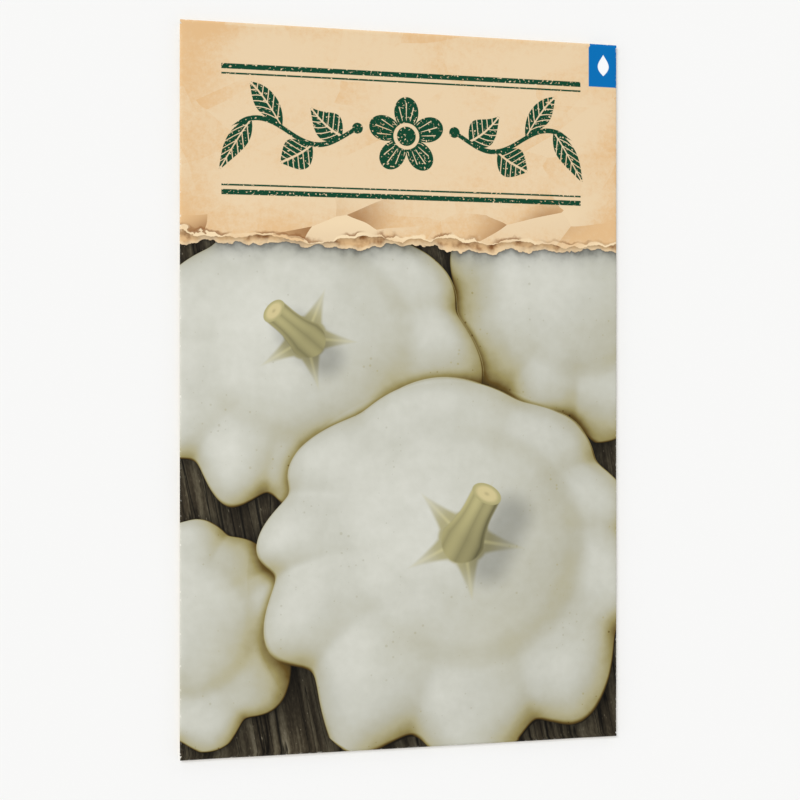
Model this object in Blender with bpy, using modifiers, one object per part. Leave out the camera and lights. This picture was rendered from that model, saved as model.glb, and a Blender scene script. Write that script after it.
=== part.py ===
"""Seed packet: a flat bag folded and glued from one sheet of paper, lying on its back, with squash seeds inside.

Metres, +Z up. The origin is the middle of the packet's footprint, on the surface that it lies on. +X runs to the
right and +Y to the top edge as the front is seen, and the front faces +Z.
"""

import math
import random

import bmesh
import bpy
from mathutils import Matrix

MM = 0.001

# Driving dimensions of the bag
WIDTH = 90 * MM
HEIGHT = 144 * MM
PAPER = 0.15 * MM
LAYER_GAP = 0.2 * MM  # between two glued layers of paper
GLUE = 0.1 * MM
SIDE_FOLD_RADIUS = 0.3 * MM
SEAM_OVERLAP = 12 * MM
SEAM_MARGIN = 1 * MM  # from the top of the inner wing's climb to the edge of the outer wing
SEAM_RAMP = 5 * MM  # where the inner wing climbs over the edge of the outer one
BOTTOM_FLAP = 14 * MM
TOP_FLAP = 18 * MM
FLAP_TAPER = 7 * MM  # how far each side of a flap draws in at its free edge
CORNER_NOTCH = 0.4 * MM  # length of each side that is cut away next to an end fold
END_INSET = 0.05 * MM  # how far each end fold stops short of the bag's sides

# How the front rises over the seeds
FRONT_RISE = 2.5 * MM
EMPTY_SHARE = 0.25  # what is left of the rise in the empty upper half
SIDE_SLOPE = 22 * MM
END_SLOPE = 16 * MM
FULL_UP_TO = 5 * MM
EMPTY_FROM = 50 * MM

# Driving dimensions of the seeds
SEED_LENGTH = 14 * MM
SEED_WIDTH = 8.5 * MM
SEED_THICKNESS = 2.0 * MM
SEED_COLUMNS = 3
SEED_ROWS = 4
SEED_PITCH_X = 21 * MM
SEED_PITCH_Y = 17 * MM
SEEDS_MIDDLE_Y = -28 * MM
SEED_SHIFT = 1.2 * MM  # the most that a seed lies off its place in the grid
SEED_CLEARANCE = 0.1 * MM
SEED_SCATTER = 11  # seed of the random scatter

# Levels of the middle of each layer of paper
FLAP_LEVEL = PAPER / 2
WING_LEVEL = FLAP_LEVEL + PAPER + LAYER_GAP
SEAM_LEVEL = WING_LEVEL + PAPER + LAYER_GAP
FRONT_LEVEL = WING_LEVEL + 2 * SIDE_FOLD_RADIUS
END_FOLD_RADIUS = (FRONT_LEVEL - FLAP_LEVEL) / 2

# Half sizes of the flat front, between its folds
FLAT_X = WIDTH / 2 - PAPER / 2 - SIDE_FOLD_RADIUS
FLAT_Y = HEIGHT / 2 - PAPER / 2 - END_FOLD_RADIUS
SIDE_ARC = math.pi * SIDE_FOLD_RADIUS
END_ARC = math.pi * END_FOLD_RADIUS
WING_REACH = FLAT_X + SEAM_OVERLAP / 2

# Mesh steps
FRONT_CELLS_X = 16
FRONT_CELLS_Y = 24
FOLD_CELLS = 4
FLAP_CELLS = 3

PRINTED_PAPER = ("printed paper", (0.62, 0.62, 0.56), 0.45)
DRIED_GLUE = ("dried glue", (0.85, 0.82, 0.70), 0.35)
SEED_COAT = ("seed coat", (0.83, 0.74, 0.55), 0.6)


def clear_scene():
    for obj in list(bpy.data.objects):
        bpy.data.objects.remove(obj)


def new_collection(name):
    collection = bpy.data.collections.new(name)
    bpy.context.scene.collection.children.link(collection)
    return collection


def new_material(name, colour, roughness):
    material = bpy.data.materials.new(name)
    material.use_nodes = True
    shader = material.node_tree.nodes["Principled BSDF"]
    shader.inputs["Base Color"].default_value = (*colour, 1)
    shader.inputs["Roughness"].default_value = roughness
    shader.inputs["Metallic"].default_value = 0
    return material


def new_object(name, bm, material, collection):
    mesh = bpy.data.meshes.new(name)
    bm.to_mesh(mesh)
    bm.free()
    mesh.materials.append(material)
    obj = bpy.data.objects.new(name, mesh)
    collection.objects.link(obj)
    return obj


def smoothstep(low, high, value):
    t = min(1, max(0, (value - low) / (high - low)))
    return t * t * (3 - 2 * t)


def spread(low, high, cells):
    """Evenly spaced values from low to high, both included."""
    return [low + (high - low) * i / cells for i in range(cells + 1)]


def front_rise(x, y):
    """How far the front stands above its folds: full over the seeds, low where the bag is empty."""
    across = smoothstep(0, SIDE_SLOPE, FLAT_X - abs(x))
    ends = smoothstep(0, END_SLOPE, FLAT_Y - abs(y))
    filled = 1 - (1 - EMPTY_SHARE) * smoothstep(FULL_UP_TO, EMPTY_FROM, y)
    return FRONT_RISE * across * ends * filled


def wing_level(x, side):
    """Level of a back wing at x. The left wing climbs a step to lie inside the right one at the seam."""
    if side > 0:
        return WING_LEVEL
    seam_edge = -SEAM_OVERLAP / 2 - SEAM_MARGIN
    climbed = smoothstep(seam_edge - SEAM_RAMP, seam_edge, x)
    return WING_LEVEL + (SEAM_LEVEL - WING_LEVEL) * climbed


def widened(away):
    """The sheet grows a little wider over the notches, so that the end folds reach the bag's corners."""
    full = (WIDTH / 2 - END_INSET) / FLAT_X
    return 1 + (full - 1) * smoothstep(FLAT_Y - CORNER_NOTCH, FLAT_Y, away)


def turn_over(distance, flat, arc, radius, low_level):
    """(offset from the middle, level) along a sheet that turns over a fold beyond its flat half."""
    past = distance - flat
    if past <= arc:
        angle = past / radius
        return flat + radius * math.sin(angle), low_level + radius * (1 + math.cos(angle))
    return flat - (past - arc), low_level


def folded(across, along):
    """Where a point of the flat sheet lies once the bag is folded."""
    side = math.copysign(1, across)
    end = math.copysign(1, along)
    if abs(along) > FLAT_Y:
        y, z = turn_over(abs(along), FLAT_Y, END_ARC, END_FOLD_RADIUS, FLAP_LEVEL)
        free = max(0, abs(along) - FLAT_Y - END_ARC)
        length = BOTTOM_FLAP if end < 0 else TOP_FLAP
        draw_in = 1 - FLAP_TAPER / FLAT_X * (free / length) ** 2
        return across * widened(abs(along)) * draw_in, end * y, z
    if abs(across) > FLAT_X:
        x, z = turn_over(abs(across), FLAT_X, SIDE_ARC, SIDE_FOLD_RADIUS, WING_LEVEL)
        x *= side
        if abs(across) > FLAT_X + SIDE_ARC:
            z = wing_level(x, side)
        return x, along, z
    return across * widened(abs(along)), along, FRONT_LEVEL + front_rise(across, along)


def wing_stations(side):
    """Places along the sheet at which a back wing has a row of points, beyond its side fold."""
    seam_edge = SEAM_OVERLAP / 2 + SEAM_MARGIN
    if side > 0:
        inset = spread(0, WING_REACH, 4)
    else:
        ramp_from = FLAT_X - seam_edge - SEAM_RAMP
        inset = spread(0, ramp_from, 3) + spread(ramp_from, ramp_from + SEAM_RAMP, 3)[1:] + [WING_REACH]
    return [FLAT_X + SIDE_ARC + distance for distance in inset[1:]]


def stations_across():
    front = spread(-FLAT_X, FLAT_X, FRONT_CELLS_X)
    fold = spread(FLAT_X, FLAT_X + SIDE_ARC, FOLD_CELLS)[1:]
    left = [-value for value in reversed(fold + wing_stations(-1))]
    return left + front + fold + wing_stations(1)


def stations_along():
    notch = [-FLAT_Y + CORNER_NOTCH, FLAT_Y - CORNER_NOTCH]
    front = sorted(spread(-FLAT_Y, FLAT_Y, FRONT_CELLS_Y) + notch)
    fold = spread(FLAT_Y, FLAT_Y + END_ARC, FOLD_CELLS)[1:]
    flap_start = FLAT_Y + END_ARC
    bottom = spread(flap_start, flap_start + BOTTOM_FLAP, FLAP_CELLS)[1:]
    top = spread(flap_start, flap_start + TOP_FLAP, FLAP_CELLS)[1:]
    return [-value for value in reversed(fold + bottom)] + front + fold + top


def in_blank(across, along):
    """True where the cut sheet has paper: the front with its two flaps, and two wings that are a little shorter."""
    return abs(across) < FLAT_X or abs(along) < FLAT_Y - CORNER_NOTCH


def paper_bag(material, collection):
    """One sheet, cut to its outline, folded round its sides and ends, then given its thickness."""
    across = stations_across()
    along = stations_along()
    bm = bmesh.new()
    bmesh.ops.create_grid(bm, x_segments=len(across) - 1, y_segments=len(along) - 1, size=0.5)
    for vert in bm.verts:
        column = round((vert.co.x + 0.5) * (len(across) - 1))
        row = round((vert.co.y + 0.5) * (len(along) - 1))
        vert.co = (across[column], along[row], 0)
    waste = [f for f in bm.faces if not in_blank(*f.calc_center_median().xy)]
    bmesh.ops.delete(bm, geom=waste, context="FACES")
    for vert in bm.verts:
        vert.co = folded(vert.co.x, vert.co.y)
    bag = new_object("paper_bag", bm, material, collection)
    thickness = bag.modifiers.new("paper thickness", "SOLIDIFY")
    thickness.thickness = PAPER
    thickness.offset = 0
    thickness.use_even_offset = True
    return bag


def glue_strip(name, size_x, size_y, place, material, collection):
    """A thin line of dried glue with rounded ends, between two layers of paper."""
    bm = bmesh.new()
    bmesh.ops.create_cube(bm, size=1, matrix=Matrix.Diagonal((size_x, size_y, GLUE, 1)))
    upright = [e for e in bm.edges if abs(e.verts[0].co.z - e.verts[1].co.z) > GLUE / 2]
    rounding = min(size_x, size_y) * 0.45
    bmesh.ops.bevel(bm, geom=upright, offset=rounding, segments=4, profile=0.5, affect="EDGES")
    strip = new_object(name, bm, material, collection)
    strip.location = place
    return strip


def glue_lines(material, collection):
    seam_z = (WING_LEVEL + SEAM_LEVEL) / 2
    flap_z = (FLAP_LEVEL + WING_LEVEL) / 2
    strip = 8 * MM
    seam_length = HEIGHT - 8 * MM
    glue_strip("back_seam_glue", strip, seam_length, (0, 0, seam_z), material, collection)
    for name, end, flap in (("bottom_flap_glue", -1, BOTTOM_FLAP), ("top_flap_glue", 1, TOP_FLAP)):
        width = WIDTH - 2 * FLAP_TAPER - 8 * MM
        y = end * (HEIGHT / 2 - flap / 2 - 2 * MM)
        glue_strip(name, width, strip, (0, y, flap_z), material, collection)


def seed_mesh():
    """A flat oval seed that narrows to its tip at +X, thickest in the middle and thin at its margin."""
    bm = bmesh.new()
    bmesh.ops.create_uvsphere(bm, u_segments=20, v_segments=8, radius=1)
    for vert in bm.verts:
        x, y, z = vert.co
        narrowing = 1 - 0.30 * smoothstep(-0.2, 1, x) * (1 + 0.4 * x)
        vert.co = (
            x * SEED_LENGTH / 2,
            y * narrowing * SEED_WIDTH / 2,
            z * SEED_THICKNESS / 2,
        )
    return bm


def inside_level(x):
    """Top of the paper on which a seed at x lies."""
    on_seam = abs(x) < SEED_PITCH_X / 2
    return (SEAM_LEVEL if on_seam else WING_LEVEL) + PAPER / 2


def seeds(material, collection):
    """A loose single layer of seeds, each a little off its place and turned its own way."""
    scatter = random.Random(SEED_SCATTER)
    for index in range(SEED_COLUMNS * SEED_ROWS):
        column = index % SEED_COLUMNS - (SEED_COLUMNS - 1) / 2
        row = index // SEED_COLUMNS - (SEED_ROWS - 1) / 2
        x = column * SEED_PITCH_X + scatter.uniform(-SEED_SHIFT, SEED_SHIFT)
        y = SEEDS_MIDDLE_Y + row * SEED_PITCH_Y + scatter.uniform(-SEED_SHIFT, SEED_SHIFT)
        z = inside_level(column * SEED_PITCH_X) + SEED_CLEARANCE + SEED_THICKNESS / 2
        seed = new_object(f"seed_{index + 1:02d}", seed_mesh(), material, collection)
        seed.location = (x, y, z)
        seed.rotation_euler = (0, 0, scatter.uniform(0, 2 * math.pi))


def main():
    clear_scene()
    packet = new_collection("seed packet")
    paper_bag(new_material(*PRINTED_PAPER), packet)
    glue_lines(new_material(*DRIED_GLUE), packet)
    seeds(new_material(*SEED_COAT), packet)


main()
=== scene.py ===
"""Seed packet: the looks of a flat paper bag of squash seeds that lies on its back on a pale floor.

Metres, +Z up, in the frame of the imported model. As the front is seen, +X runs to the right and +Y to the
top edge.
"""

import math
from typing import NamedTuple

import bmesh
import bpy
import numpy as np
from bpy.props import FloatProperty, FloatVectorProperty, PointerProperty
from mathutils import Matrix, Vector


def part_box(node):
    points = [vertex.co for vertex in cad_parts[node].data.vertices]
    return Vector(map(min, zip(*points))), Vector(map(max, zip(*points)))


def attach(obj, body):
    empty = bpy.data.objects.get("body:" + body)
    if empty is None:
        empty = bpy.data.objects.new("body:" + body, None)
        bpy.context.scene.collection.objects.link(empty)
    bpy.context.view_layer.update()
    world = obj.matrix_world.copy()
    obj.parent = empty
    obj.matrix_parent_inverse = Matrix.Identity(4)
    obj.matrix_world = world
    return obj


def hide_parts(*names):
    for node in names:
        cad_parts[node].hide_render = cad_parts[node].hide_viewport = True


bl_info = {
    "name": "Seed Packet",
    "version": (1, 0, 0),
    "blender": (4, 5, 0),
    "location": "View3D > Sidebar > Seed Packet",
    "description": "Folds, prints, fills and lights a flat paper seed packet",
    "category": "Object",
}

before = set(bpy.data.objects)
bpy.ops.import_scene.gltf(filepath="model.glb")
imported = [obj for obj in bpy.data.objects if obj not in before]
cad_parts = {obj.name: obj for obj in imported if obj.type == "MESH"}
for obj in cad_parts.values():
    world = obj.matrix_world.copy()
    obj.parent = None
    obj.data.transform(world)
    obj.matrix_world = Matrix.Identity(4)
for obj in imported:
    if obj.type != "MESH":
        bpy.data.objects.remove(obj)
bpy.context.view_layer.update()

MM = 0.001
BAG_LOW, BAG_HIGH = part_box("paper_bag")
WIDTH, HEIGHT, THICKNESS = (round(side, 4) for side in BAG_HIGH - BAG_LOW)
SEED_NODES = sorted(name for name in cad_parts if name.startswith("seed_"))
GLUE_NODES = sorted(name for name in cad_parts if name.endswith("_glue"))
PRINT_MAP = "Print"
BAKE_MAP = "OFBake"


def linear_colour(code):
    """Scene-linear red, green and blue of a hexadecimal sRGB colour code."""
    shares = [int(code[i : i + 2], 16) / 255 for i in (0, 2, 4)]
    return tuple(s / 12.92 if s <= 0.04045 else ((s + 0.055) / 1.055) ** 2.4 for s in shares)


# Settings that a user would change


def length(name, description, default):
    return FloatProperty(name=name, description=description, default=default, unit="LENGTH", precision=5)


def colour(name, description, code):
    kind = {"subtype": "COLOR", "size": 3, "min": 0, "max": 1}
    return FloatVectorProperty(name=name, description=description, default=linear_colour(code), **kind)


class PacketSizes(bpy.types.PropertyGroup):
    """Sizes of the folded sheet."""

    paper: length("Paper", "Thickness of the paper", 0.15 * MM)
    layer_gap: length("Layer gap", "Room between two glued layers", 0.2 * MM)
    side_radius: length("Side fold radius", "Radius of the middle of the sheet at the side folds", 0.3 * MM)
    seam_overlap: length("Seam overlap", "How far the back wings lap over each other", 12 * MM)
    seam_margin: length("Seam margin", "From the top of the inner wing's climb to the outer edge", 1 * MM)
    seam_ramp: length("Seam ramp", "Where the inner wing climbs over the outer one", 5 * MM)
    bottom_flap: length("Bottom flap", "Length of the flap at the bottom", 14 * MM)
    top_flap: length("Top flap", "Length of the flap at the top", 18 * MM)
    flap_taper: length("Flap taper", "How far each side of a flap draws in", 7 * MM)
    notch: length("Corner notch", "Side paper cut away next to each end fold", 0.4 * MM)
    end_inset: length("End inset", "How far each end fold stops short of the sides", 0.05 * MM)
    dent: length("Seed dents", "How far the front sinks between the seeds", 0.45 * MM)
    ripple: length("Ripple", "Height of the slow waves in the front", 0.25 * MM)
    buckle: length("Buckle", "Height of the short waves round the swollen part", 0.12 * MM)
    seed_length: length("Seed length", "Length of a seed", 14 * MM)
    seed_width: length("Seed width", "Width of a seed", 8.5 * MM)
    seed_thickness: length("Seed thickness", "Thickness of a seed", 2 * MM)


class PrintColours(bpy.types.PropertyGroup):
    """Inks and papers."""

    kraft: colour("Kraft", "Brown paper of the header", "E6CDA8")
    kraft_shade: colour("Kraft shade", "Brown paper where it is darker", "E0B988")
    kraft_crease: colour("Kraft crease", "Bottom of a crease in the brown paper", "8A5A30")
    kraft_lip: colour("Kraft lip", "Thin fibres along the torn edge", "F4DDB6")
    ink: colour("Green ink", "Ornament on the header", "0C432C")
    tab: colour("Tab", "Coloured tab in the corner", "006DB3")
    tab_mark: colour("Tab mark", "Mark on the tab", "F4F6F8")
    stem: colour("Stem", "Stems in the picture", "A9A274")
    stem_cut: colour("Stem cut", "Cut ends of the stems in the picture", "C9BC8C")
    back: colour("Back", "Ground of the printed back", "EFE4CB")
    sown: colour("Sown", "Months in which the seeds are sown", "6C9A4B")
    picked: colour("Picked", "Months in which the fruit is picked", "D0923A")
    bare_paper: colour("Bare paper", "Inside and cut edges of the sheet", "F1EEE4")
    seed_coat: colour("Seed coat", "Skin of the seeds", "DCCB9C")
    glue: colour("Glue", "Dried glue between the layers", "E6DDBE")


class StudioSettings(bpy.types.PropertyGroup):
    """Light, floor and camera."""

    floor: colour("Floor", "Colour of the floor", "F4F4F3")
    overhead: FloatProperty(name="Overhead", description="Brightness of the sky above", default=0.62, min=0)
    horizon: FloatProperty(name="Horizon", description="Brightness near the horizon", default=0.95, min=0)
    key: FloatProperty(name="Key", description="Strength of the main soft light", default=1.5, min=0)
    lens: FloatProperty(name="Lens", description="Focal length in millimetres", default=62.4, min=10)


# Node trees


def operation(name):
    """A method that adds one Math node to a field."""
    return lambda self, *others: self.graph.math(name, self, *others)


class Field:
    """A node's output that Python arithmetic works on: each operation adds its Math node."""

    def __init__(self, graph, socket):
        self.graph = graph
        self.socket = socket

    def __rsub__(self, other):
        return self.graph.math("SUBTRACT", other, self)

    def __rtruediv__(self, other):
        return self.graph.math("DIVIDE", other, self)

    __add__ = __radd__ = operation("ADD")
    __sub__ = operation("SUBTRACT")
    __mul__ = __rmul__ = operation("MULTIPLY")
    __truediv__ = operation("DIVIDE")
    __pow__ = operation("POWER")
    __abs__ = operation("ABSOLUTE")
    least = operation("MINIMUM")
    most = operation("MAXIMUM")
    smooth_most = operation("SMOOTH_MAX")
    above = operation("GREATER_THAN")
    below = operation("LESS_THAN")
    root = operation("SQRT")
    exponential = operation("EXPONENT")
    sine = operation("SINE")
    cosine = operation("COSINE")
    arcsine = operation("ARCSINE")
    sign = operation("SIGN")
    whole = operation("FLOOR")
    part = operation("FRACT")

    def smooth(self, low, high):
        """0 below low and 1 above high, with an eased slope between, or the reverse if low is the larger."""
        settings = {"interpolation_type": "SMOOTHSTEP"}
        if low < high:
            return self.graph.add("ShaderNodeMapRange", settings, {0: self, 1: low, 2: high, 3: 0, 4: 1})
        return self.graph.add("ShaderNodeMapRange", settings, {0: self, 1: high, 2: low, 3: 1, 4: 0})

    def parts(self):
        """The X, Y and Z of a vector."""
        node = self.graph.node("ShaderNodeSeparateXYZ", links={0: self})
        return [Field(self.graph, output) for output in node.outputs]


class Graph:
    """Adds nodes to a tree. Settings come first, then each socket gets its value or link."""

    def __init__(self, tree):
        self.tree = tree

    def node(self, kind, settings=None, links=None):
        node = self.tree.nodes.new(kind)
        for name, value in (settings or {}).items():
            if name == "stops":
                self.set_stops(node.color_ramp, value)
            else:
                setattr(node, name, value)
        for key, value in (links or {}).items():
            self.plug(node.inputs[key], value)
        return node

    def add(self, kind, settings=None, links=None, output=0):
        return Field(self, self.node(kind, settings, links).outputs[output])

    def plug(self, socket, value):
        if isinstance(value, Field):
            self.tree.links.new(value.socket, socket)
        elif socket.type == "RGBA":
            socket.default_value = (*value, 1)
        else:
            socket.default_value = value

    def set_stops(self, ramp, stops):
        for _ in stops[2:]:
            ramp.elements.new(0.5)
        for element, (place, code) in zip(ramp.elements, stops):
            element.position = place
            element.color = (*linear_colour(code), 1)

    def use(self, tree, values):
        """The outputs of a node group whose inputs have these values."""
        node = self.node("ShaderNodeGroup", {"node_tree": tree}, values)
        return [Field(self, output) for output in node.outputs]

    def math(self, name, *values):
        return self.add("ShaderNodeMath", {"operation": name}, dict(enumerate(values)))

    def join(self, x, y, z=0):
        return self.add("ShaderNodeCombineXYZ", links={0: x, 1: y, 2: z})

    def ramp(self, value, stops):
        return self.add("ShaderNodeValToRGB", {"stops": stops}, {0: value})

    def mix(self, share, low, high):
        """The colour low where share is 0, high where it is 1."""
        return self.add("ShaderNodeMix", {"data_type": "RGBA"}, {0: share, 6: low, 7: high}, output=2)

    def shade(self, colour_in, factor):
        """A colour made lighter or darker by a factor."""
        return self.add("ShaderNodeVectorMath", {"operation": "SCALE"}, {0: colour_in, 3: factor})

    def bump(self, height, distance, strength=1.0):
        links = {"Strength": strength, "Distance": distance, "Height": height}
        return self.add("ShaderNodeBump", links=links)

    def noise(self, x, y, size, detail=2.0, seed=0.0):
        """Clouds from 0 to 1, about size across."""
        links = {"Vector": self.join(x * (1 / size), y * (1 / size), seed), "Scale": 1, "Detail": detail}
        return self.add("ShaderNodeTexNoise", {}, links)


def direction(degrees):
    """Cosine and sine of an angle."""
    angle = math.radians(degrees)
    return math.cos(angle), math.sin(angle)


def turned(x, y, cosine, sine):
    """A place along and across a direction, given as its cosine and sine."""
    return x * cosine + y * sine, y * cosine - x * sine


def distance(x, y):
    return (x * x + y * y).root()


def material_graph(name):
    """A new material's graph and its Principled shader."""
    material = bpy.data.materials.new(name)
    material.use_nodes = True
    return material, Graph(material.node_tree), material.node_tree.nodes["Principled BSDF"]


def finish_surface(g, shader, paint, roughness, normal):
    for name, value in (("Base Color", paint), ("Roughness", roughness), ("Normal", normal)):
        g.plug(shader.inputs[name], value)


def new_group(kind, name, inputs, outputs):
    """A new node group, its graph, and the fields of its inputs. Each socket's name goes with its kind."""
    tree = bpy.data.node_groups.new(name, kind)
    for label, socket in inputs.items():
        tree.interface.new_socket(label, in_out="INPUT", socket_type="NodeSocket" + socket)
    for label, socket in outputs.items():
        tree.interface.new_socket(label, in_out="OUTPUT", socket_type="NodeSocket" + socket)
    graph = Graph(tree)
    given = tree.nodes.new("NodeGroupInput")
    return tree, graph, {output.name: Field(graph, output) for output in given.outputs if output.name}


def geometry_graph(name, inputs):
    """A new Geometry Nodes group with named inputs, each a number or an object."""
    kinds = {label: "Float" if isinstance(value, float) else "Object" for label, value in inputs.items()}
    geometry = {"Geometry": "Geometry"}
    return new_group("GeometryNodeTree", name, geometry | kinds, geometry)


def shader_group(name, build, inputs, outputs):
    """A shader node group of numbers, built the first time it is asked for.

    build takes its graph and inputs, and gives its outputs in order.
    """
    if name in bpy.data.node_groups:
        return bpy.data.node_groups[name]
    tree, graph, given = new_group(
        "ShaderNodeTree", name, dict.fromkeys(inputs, "Float"), dict.fromkeys(outputs, "Float")
    )
    graph.node("NodeGroupOutput", links=dict(enumerate(build(graph, given))))
    return tree


def finish_tree(graph, geometry, materials):
    """Realize Instances, a Set Material for each material and field of faces, then the tree's output."""
    solid = graph.add("GeometryNodeRealizeInstances", links={"Geometry": geometry})
    for material, chosen in materials:
        links = {"Geometry": solid, "Selection": chosen, "Material": material}
        solid = graph.add("GeometryNodeSetMaterial", links=links)
    graph.node("NodeGroupOutput", links={0: solid})


def run_tree(obj, tree, values):
    """Gives the object the tree as a modifier and sets its inputs."""
    modifier = obj.modifiers.new(tree.name, "NODES")
    modifier.node_group = tree
    for item in tree.interface.items_tree:
        if item.in_out == "INPUT" and item.name in values:
            modifier[item.identifier] = values[item.name]


def make_plain(obj):
    """Turns the object's modifiers into a plain mesh."""
    graph = bpy.context.evaluated_depsgraph_get()
    mesh = bpy.data.meshes.new_from_object(obj.evaluated_get(graph), depsgraph=graph)
    obj.modifiers.clear()
    obj.data = mesh
    mesh.name = obj.name


def add_object(name, data):
    obj = bpy.data.objects.new(name, data)
    bpy.context.scene.collection.objects.link(obj)
    return obj


# Paper bag


FRONT_STEP = 0.9 * MM
WING_STEP = 1.6 * MM
FOLD_CELLS = 6
SIDE_SLOPE = 22 * MM
END_SLOPE = 16 * MM
FULL_UP_TO = 5 * MM
EMPTY_FROM = 50 * MM
EMPTY_SHARE = 0.25
SEED_REACH = 7 * MM
RIPPLE_SIZE = 30 * MM
BUCKLE_LENGTH = 13 * MM
# From a fold inwards: where the buckles beside it start, stand full, begin to fade and end.
SIDE_BUCKLES = (1 * MM, 7 * MM, 9 * MM, 20 * MM)
END_BUCKLES = (1 * MM, 6 * MM, 8 * MM, 17 * MM)
TOP_BUCKLE = 45 * MM
SHARP_ANGLE = math.radians(50)


class Folds(NamedTuple):
    """Where the flat sheet folds, and the levels of its layers."""

    flat_x: float
    flat_y: float
    side_arc: float
    end_radius: float
    end_arc: float
    wing_reach: float
    flap_level: float
    wing_level: float
    seam_level: float
    front_level: float


def folds_of(sizes):
    flap_level = sizes.paper / 2
    wing_level = flap_level + sizes.paper + sizes.layer_gap
    front_level = wing_level + 2 * sizes.side_radius
    end_radius = (front_level - flap_level) / 2
    flat_x = WIDTH / 2 - sizes.paper / 2 - sizes.side_radius
    return Folds(
        flat_x=flat_x,
        flat_y=HEIGHT / 2 - sizes.paper / 2 - end_radius,
        side_arc=math.pi * sizes.side_radius,
        end_radius=end_radius,
        end_arc=math.pi * end_radius,
        wing_reach=flat_x + sizes.seam_overlap / 2,
        flap_level=flap_level,
        wing_level=wing_level,
        seam_level=wing_level + sizes.paper + sizes.layer_gap,
        front_level=front_level,
    )


def spread(low, high, step):
    """Evenly spaced values from low to high, both included, about a step apart."""
    count = max(1, round((high - low) / step))
    return [low + (high - low) * i / count for i in range(count + 1)]


def sheet_rows(flat, notch, arc, reach_low, reach_high):
    """Places of the rows of points along one direction of the flat sheet."""
    full = flat - notch
    front = spread(-full, full, FRONT_STEP)
    if notch:
        front = [-flat, *front, flat]
    fold = spread(flat, flat + arc, arc / FOLD_CELLS)[1:]
    edge = flat + arc
    low = spread(edge, edge + reach_low, WING_STEP)[1:]
    high = spread(edge, edge + reach_high, WING_STEP)[1:]
    return [-value for value in reversed(fold + low)] + front + fold + high


def flat_sheet(sizes, folds):
    """The cut sheet, flat: a front with an end flap at its top and bottom, and two slightly shorter wings."""
    across = sheet_rows(folds.flat_x, 0, folds.side_arc, folds.wing_reach, folds.wing_reach)
    along = sheet_rows(folds.flat_y, sizes.notch, folds.end_arc, sizes.bottom_flap, sizes.top_flap)
    bm = bmesh.new()
    bmesh.ops.create_grid(bm, x_segments=len(across) - 1, y_segments=len(along) - 1, size=0.5)
    for vert in bm.verts:
        column = round((vert.co.x + 0.5) * (len(across) - 1))
        row = round((vert.co.y + 0.5) * (len(along) - 1))
        vert.co = (across[column], along[row], 0)
    waste = []
    for face in bm.faces:
        middle = face.calc_center_median()
        if abs(middle.x) > folds.flat_x and abs(middle.y) > folds.flat_y - sizes.notch:
            waste.append(face)
    bmesh.ops.delete(bm, geom=waste, context="FACES")
    mesh = bpy.data.meshes.new("paper bag")
    bm.to_mesh(mesh)
    bm.free()
    return mesh


def turned_over(reach, flat, radius, low_level):
    """Offset from the middle and level, along a sheet that turns over a fold beyond its flat half."""
    past = reach - flat
    bend = (past * (1 / radius)).most(0).least(math.pi)
    beyond = (past - math.pi * radius).most(0)
    offset = reach.least(flat) + bend.sine() * radius - beyond
    level = low_level + radius * (1 + bend.cosine())
    return offset, level


def band(inset, start, full, fading, end):
    """1 between full and fading, eased to 0 at start and at end."""
    return inset.smooth(start, full) * inset.smooth(end, fading)


def front_lift(g, given, across, along, inset_x, inset_y):
    """How far the front stands up over the seeds, with dents between them, ripples and buckles."""
    puffed = inset_x.smooth(0, SIDE_SLOPE) * inset_y.smooth(0, END_SLOPE)
    filled = 1 - (1 - EMPTY_SHARE) * along.smooth(FULL_UP_TO, EMPTY_FROM)
    seeds = g.add("GeometryNodeObjectInfo", links={"Object": given["Seeds"]}, output=4)
    low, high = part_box(SEED_NODES[0])
    links = {0: seeds, "Source Position": g.join(across, along, (low.z + high.z) / 2)}
    near = g.add("GeometryNodeProximity", {"target_element": "POINTS"}, links, output=1)
    bump = (near * near * (-1 / SEED_REACH**2)).exponential()
    ripples = g.noise(across, along, RIPPLE_SIZE, 1.5, seed=3) - 0.5
    drift = g.noise(across, along, 2 * BUCKLE_LENGTH, 1, seed=4) * 6
    waves = 2 * math.pi / BUCKLE_LENGTH
    beside = band(inset_x, *SIDE_BUCKLES) * along.smooth(TOP_BUCKLE, 0)
    below = band(inset_y, *END_BUCKLES) * along.below(0)
    buckles = (along * waves + drift).sine() * beside + (across * waves + drift).sine() * below
    lift = given["Rise"] * filled - given["Dent"] * (1 - bump) + given["Ripple"] * ripples
    return puffed * lift + given["Buckle"] * buckles


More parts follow.
